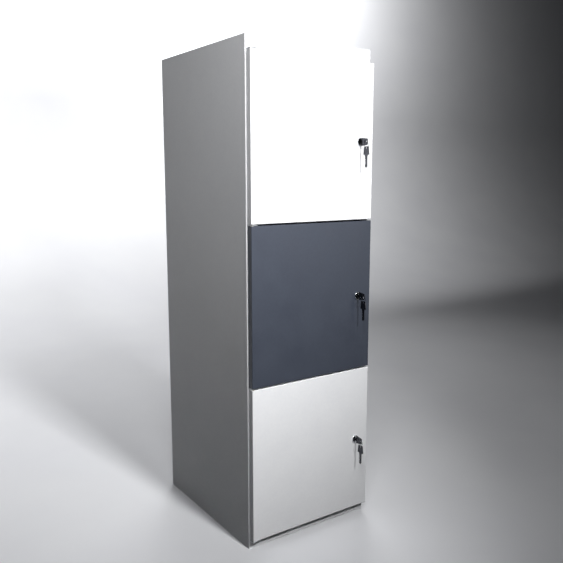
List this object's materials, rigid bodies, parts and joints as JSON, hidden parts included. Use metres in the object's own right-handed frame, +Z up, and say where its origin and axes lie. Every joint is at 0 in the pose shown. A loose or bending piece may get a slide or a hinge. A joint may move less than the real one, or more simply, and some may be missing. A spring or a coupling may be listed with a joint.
{
  "type": "parcel locker",
  "caption": "Tall sheet-steel parcel locker column with stacked overlay doors, each on pivot pins and with a cam lock, a key in it and a spare key on a ring.",
  "frame": {"origin": "centre of the carcass footprint, on the floor", "axes": "+Z up, -Y out of the door fronts, +X to the right of someone facing the doors"},
  "size_m": [0.4, 0.5256, 1.33],
  "materials": {
    "white_powder_coat": "smooth satin powder coat",
    "graphite_powder_coat": "smooth satin powder coat",
    "zinc_plated_steel": "bright zinc plate",
    "lock_chrome": "polished chrome plate",
    "key_nickel": "stamped and nickel plated",
    "bush_nylon": "natural moulded nylon",
    "rivet_aluminium": "plain",
    "buffer_rubber": "matt"
  },
  "bodies": {
    "carcass": {"side_panel_left": "white_powder_coat", "side_panel_right": "white_powder_coat", "roof_panel": "white_powder_coat", "floor_panel": "white_powder_coat", "back_panel": "white_powder_coat", "shelf_lower": "white_powder_coat", "shelf_upper": "white_powder_coat", "base_stiffener": "zinc_plated_steel", "hinge_bracket_bottom": "zinc_plated_steel", "hinge_bracket_lower": "zinc_plated_steel", "hinge_bracket_upper": "zinc_plated_steel", "hinge_bracket_top": "zinc_plated_steel", "hinge_pins": "zinc_plated_steel", "hinge_screws": "zinc_plated_steel", "back_rivets": "rivet_aluminium", "door_buffers": "buffer_rubber"},
    "lower_door": {"lower_door_skin": "white_powder_coat", "lower_door_inner_panel": "white_powder_coat", "lower_hinge_blocks": "zinc_plated_steel", "lower_pivot_bushes": "bush_nylon", "lower_lock_housing": "lock_chrome", "lower_lock_nut": "zinc_plated_steel"},
    "lower_lock": {"lower_lock_plug": "lock_chrome", "lower_stop_washer": "zinc_plated_steel", "lower_lock_cam": "zinc_plated_steel", "lower_cam_screw": "zinc_plated_steel"},
    "lower_inserted_key": {"lower_key": "key_nickel"},
    "lower_ring": {"lower_key_ring": "key_nickel"},
    "lower_hanging_key": {"lower_spare_key": "key_nickel"},
    "middle_door": {"middle_door_skin": "graphite_powder_coat", "middle_door_inner_panel": "graphite_powder_coat", "middle_hinge_blocks": "zinc_plated_steel", "middle_pivot_bushes": "bush_nylon", "middle_lock_housing": "lock_chrome", "middle_lock_nut": "zinc_plated_steel"},
    "middle_lock": {"middle_lock_plug": "lock_chrome", "middle_stop_washer": "zinc_plated_steel", "middle_lock_cam": "zinc_plated_steel", "middle_cam_screw": "zinc_plated_steel"},
    "middle_inserted_key": {"middle_key": "key_nickel"},
    "middle_ring": {"middle_key_ring": "key_nickel"},
    "middle_hanging_key": {"middle_spare_key": "key_nickel"},
    "upper_door": {"upper_door_skin": "white_powder_coat", "upper_door_inner_panel": "white_powder_coat", "upper_hinge_blocks": "zinc_plated_steel", "upper_pivot_bushes": "bush_nylon", "upper_lock_housing": "lock_chrome", "upper_lock_nut": "zinc_plated_steel"},
    "upper_lock": {"upper_lock_plug": "lock_chrome", "upper_stop_washer": "zinc_plated_steel", "upper_lock_cam": "zinc_plated_steel", "upper_cam_screw": "zinc_plated_steel"},
    "upper_inserted_key": {"upper_key": "key_nickel"},
    "upper_ring": {"upper_key_ring": "key_nickel"},
    "upper_hanging_key": {"upper_spare_key": "key_nickel"}
  },
  "joints": [
    {"name": "lower_door_swing", "type": "hinge", "parent": "carcass", "child": "lower_door", "pos_m": [-0.1918, -0.248, 0.2376], "axis": [0, 0, -1], "range_deg": [0, 180]},
    {"name": "lower_lock_turn", "type": "hinge", "parent": "lower_door", "child": "lower_lock", "pos_m": [0.1528, -0.257, 0.2376], "axis": [0, 1, 0], "range_deg": [0, 90]},
    {"name": "lower_key_pull", "type": "slide", "parent": "lower_lock", "child": "lower_inserted_key", "axis": [0, -1, 0], "range_m": [0, 0.032]},
    {"name": "lower_ring_swing", "type": "hinge", "parent": "lower_inserted_key", "child": "lower_ring", "pos_m": [0.1528, -0.2789, 0.2376], "axis": [1, 0, 0], "range_deg": [-90, 10]},
    {"name": "lower_spare_key_swing", "type": "hinge", "parent": "lower_ring", "child": "lower_hanging_key", "pos_m": [0.1528, -0.2789, 0.2212], "axis": [1, 0, 0], "range_deg": [-45, 10]},
    {"name": "middle_door_swing", "type": "hinge", "parent": "carcass", "child": "middle_door", "pos_m": [-0.1918, -0.248, 0.6605], "axis": [0, 0, -1], "range_deg": [0, 180]},
    {"name": "middle_lock_turn", "type": "hinge", "parent": "middle_door", "child": "middle_lock", "pos_m": [0.1528, -0.257, 0.6605], "axis": [0, 1, 0], "range_deg": [0, 90]},
    {"name": "middle_key_pull", "type": "slide", "parent": "middle_lock", "child": "middle_inserted_key", "axis": [0, -1, 0], "range_m": [0, 0.032]},
    {"name": "middle_ring_swing", "type": "hinge", "parent": "middle_inserted_key", "child": "middle_ring", "pos_m": [0.1528, -0.2789, 0.6605], "axis": [1, 0, 0], "range_deg": [-90, 10]},
    {"name": "middle_spare_key_swing", "type": "hinge", "parent": "middle_ring", "child": "middle_hanging_key", "pos_m": [0.1528, -0.2789, 0.6441], "axis": [1, 0, 0], "range_deg": [-45, 10]},
    {"name": "upper_door_swing", "type": "hinge", "parent": "carcass", "child": "upper_door", "pos_m": [-0.1918, -0.248, 1.0834], "axis": [0, 0, -1], "range_deg": [0, 180]},
    {"name": "upper_lock_turn", "type": "hinge", "parent": "upper_door", "child": "upper_lock", "pos_m": [0.1528, -0.257, 1.0834], "axis": [0, 1, 0], "range_deg": [0, 90]},
    {"name": "upper_key_pull", "type": "slide", "parent": "upper_lock", "child": "upper_inserted_key", "axis": [0, -1, 0], "range_m": [0, 0.032]},
    {"name": "upper_ring_swing", "type": "hinge", "parent": "upper_inserted_key", "child": "upper_ring", "pos_m": [0.1528, -0.2789, 1.0834], "axis": [1, 0, 0], "range_deg": [-90, 10]},
    {"name": "upper_spare_key_swing", "type": "hinge", "parent": "upper_ring", "child": "upper_hanging_key", "pos_m": [0.1528, -0.2789, 1.067], "axis": [1, 0, 0], "range_deg": [-45, 10]}
  ]
}
